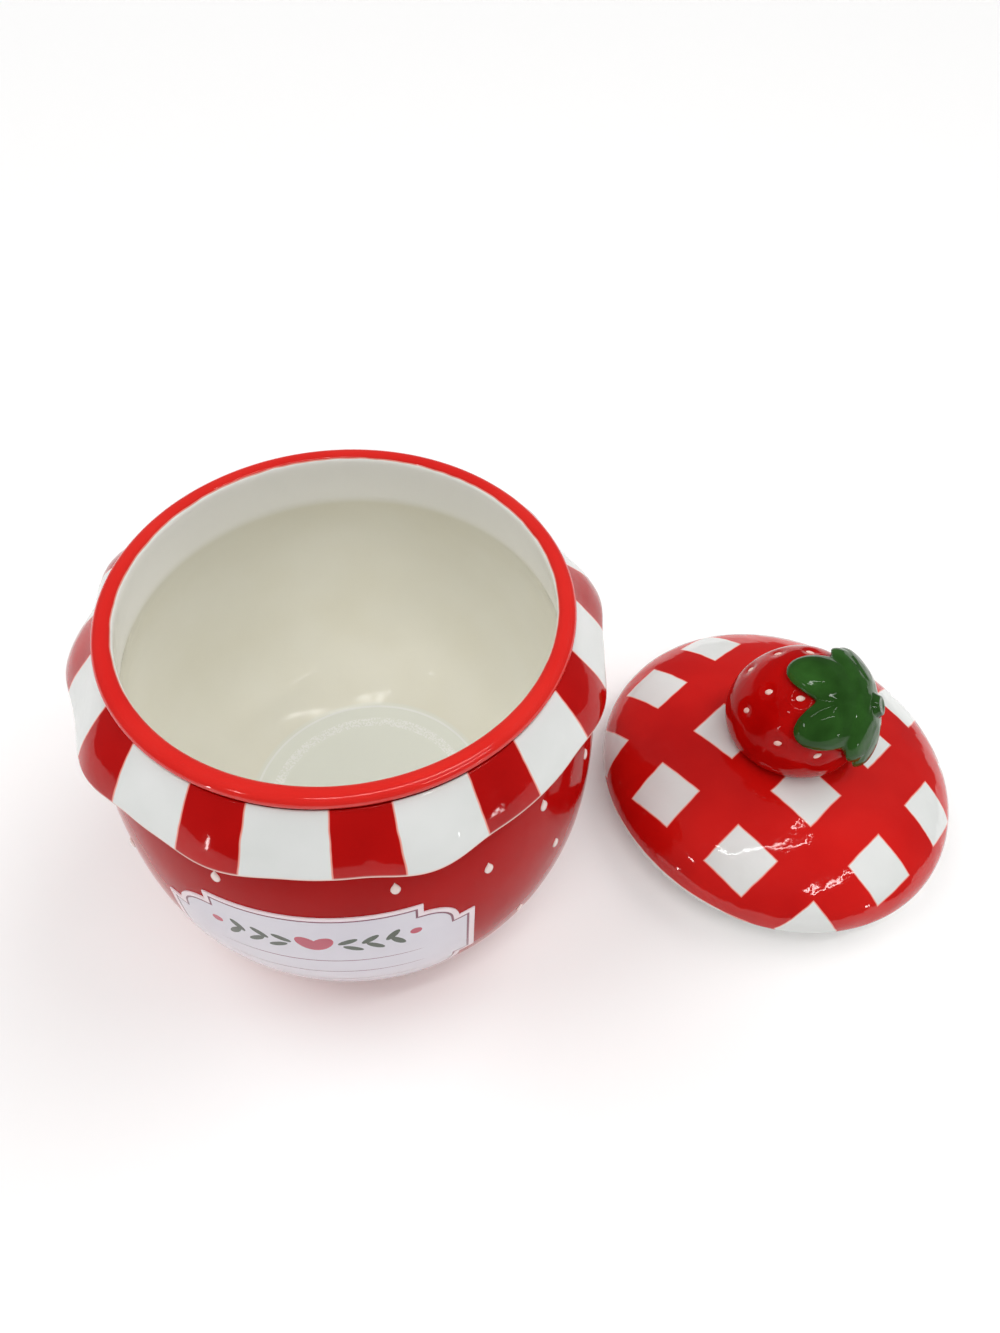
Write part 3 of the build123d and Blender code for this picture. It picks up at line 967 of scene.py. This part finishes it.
smooth_form(stem, 2)

tree, place, surface = start_glaze(stem, "stem_green_glaze", ripple_height=0.2)
green = cloud_paint(tree, place, "#2a521d", "#1a3a0e", width=5)
tree.links.new(green, surface.inputs["Base Color"])

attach(stem, "lid")
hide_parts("stem")


# Floor: a wide sheet of plain white paper under the pot and the lid. Seen directly or in a gloss, it is
# brightened part of the way to white, and it keeps the shadows.

floor_width = 6
floor_glow = 0.1

bpy.ops.object.select_all(action="DESELECT")
bpy.ops.mesh.primitive_plane_add(size=floor_width)
floor_sheet = bpy.context.active_object
floor_sheet.name = "floor_sheet"
paper = bpy.data.materials.new("white_paper")
paper.use_nodes = True
tree = paper.node_tree
tree.nodes.clear()
sheet = add_node(tree, "ShaderNodeBsdfDiffuse", {"Color": linear("#fbfaf9")})
glow = add_node(tree, "ShaderNodeEmission", {"Color": linear("#ffffff"), "Strength": 1})
rays = add_node(tree, "ShaderNodeLightPath", {}).node.outputs
direct = {0: rays["Is Camera Ray"], 1: rays["Is Glossy Ray"]}
seen = add_node(tree, "ShaderNodeMath", direct, operation="MAXIMUM")
shown = add_node(tree, "ShaderNodeMath", {0: seen, 1: rays["Is Transmission Ray"]}, operation="MAXIMUM")
share = add_node(tree, "ShaderNodeMath", {0: shown, 1: floor_glow}, operation="MULTIPLY")
lit = add_node(tree, "ShaderNodeMixShader", {0: share, 1: sheet, 2: glow})
add_node(tree, "ShaderNodeOutputMaterial", {"Surface": lit})
floor_sheet.data.materials.append(paper)


# Light: a dim pale room, and broad sheets of soft light from both sides and the front that don't show in
# the gloss. Thin bright bars and small lamps leave the glints.

sheet_spread = radians(45)
aim_place = Vector((0.1, 0, 0.06))

room = bpy.data.worlds.new("studio_room")
bpy.context.scene.world = room
room.use_nodes = True
tree = room.node_tree
tree.nodes.clear()
view = add_node(tree, "ShaderNodeTexCoord", {}, output="Generated")
axes = add_node(tree, "ShaderNodeSeparateXYZ", {"Vector": view}).node.outputs
depth = {"Value": axes["Y"], "From Min": -1, "From Max": 1, "To Min": 0.16, "To Max": 0.2}
backward = add_node(tree, "ShaderNodeMapRange", depth)
walls = add_node(tree, "ShaderNodeBackground", {"Color": linear("#f4f6f8"), "Strength": backward})
add_node(tree, "ShaderNodeOutputWorld", {"Surface": walls})

# Each sheet is (name, strength, degrees that it leans to the front, degrees that it leans to the right).
for name, strength, forward, sideways in (
    ("right_sheet", 1.2, -22, 38),
    ("left_sheet", 1.15, -10, -38),
    ("front_sheet", 0.92, 28, 0),
):
    sheet_light = bpy.data.lights.new(name, "SUN")
    sheet_light.energy = strength
    sheet_light.angle = sheet_spread
    holder = bpy.data.objects.new(name, sheet_light)
    bpy.context.collection.objects.link(holder)
    holder.rotation_euler = (radians(forward), radians(sideways), 0)
    holder.visible_glossy = False

# Each lamp is (name, width, height, brightness of its face, place), in metres.
for name, width, height, brightness, spot in (
    ("top_bar", 0.62, 0.018, 22, (0.16, -0.14, 0.82)),
    ("right_bar", 0.36, 0.018, 22, (0.515, -0.375, 0.62)),
    ("left_lamp", 0.05, 0.04, 22, (-0.38, -0.457, 0.62)),
    ("low_left_lamp", 0.02, 0.16, 25, (-0.58, -0.63, 0.1)),
    ("low_right_lamp", 0.015, 0.06, 25, (0.72, -0.47, 0.1)),
):
    lamp = bpy.data.lights.new(name, "AREA")
    lamp.shape = "RECTANGLE"
    lamp.size = width
    lamp.size_y = height
    lamp.energy = brightness * pi * width * height
    holder = bpy.data.objects.new(name, lamp)
    bpy.context.collection.objects.link(holder)
    holder.location = spot
    aim = aim_place - holder.location
    holder.rotation_euler = aim.to_track_quat("-Z", "Y").to_euler()


# Camera: held close above the front of the pot, looking down into its mouth, with a wide lens.

camera_pitch = radians(51.33)
camera_roll = radians(3.66)
photo_width = 1000
photo_height = 1333
focal_pixels = 850
sensor = 36
camera_place = (0.0361, -0.1273, 0.2345)

camera = bpy.data.cameras.new("camera")
camera.sensor_width = sensor
camera.lens = focal_pixels / max(photo_width, photo_height) * sensor
camera.clip_start = 0.01
holder = bpy.data.objects.new("camera", camera)
bpy.context.collection.objects.link(holder)
tilt = Matrix.Rotation(pi / 2 - camera_pitch, 4, "X") @ Matrix.Rotation(camera_roll, 4, "Z")
holder.matrix_world = Matrix.Translation(camera_place) @ tilt
bpy.context.scene.camera = holder
bpy.context.scene.view_settings.view_transform = "Standard"
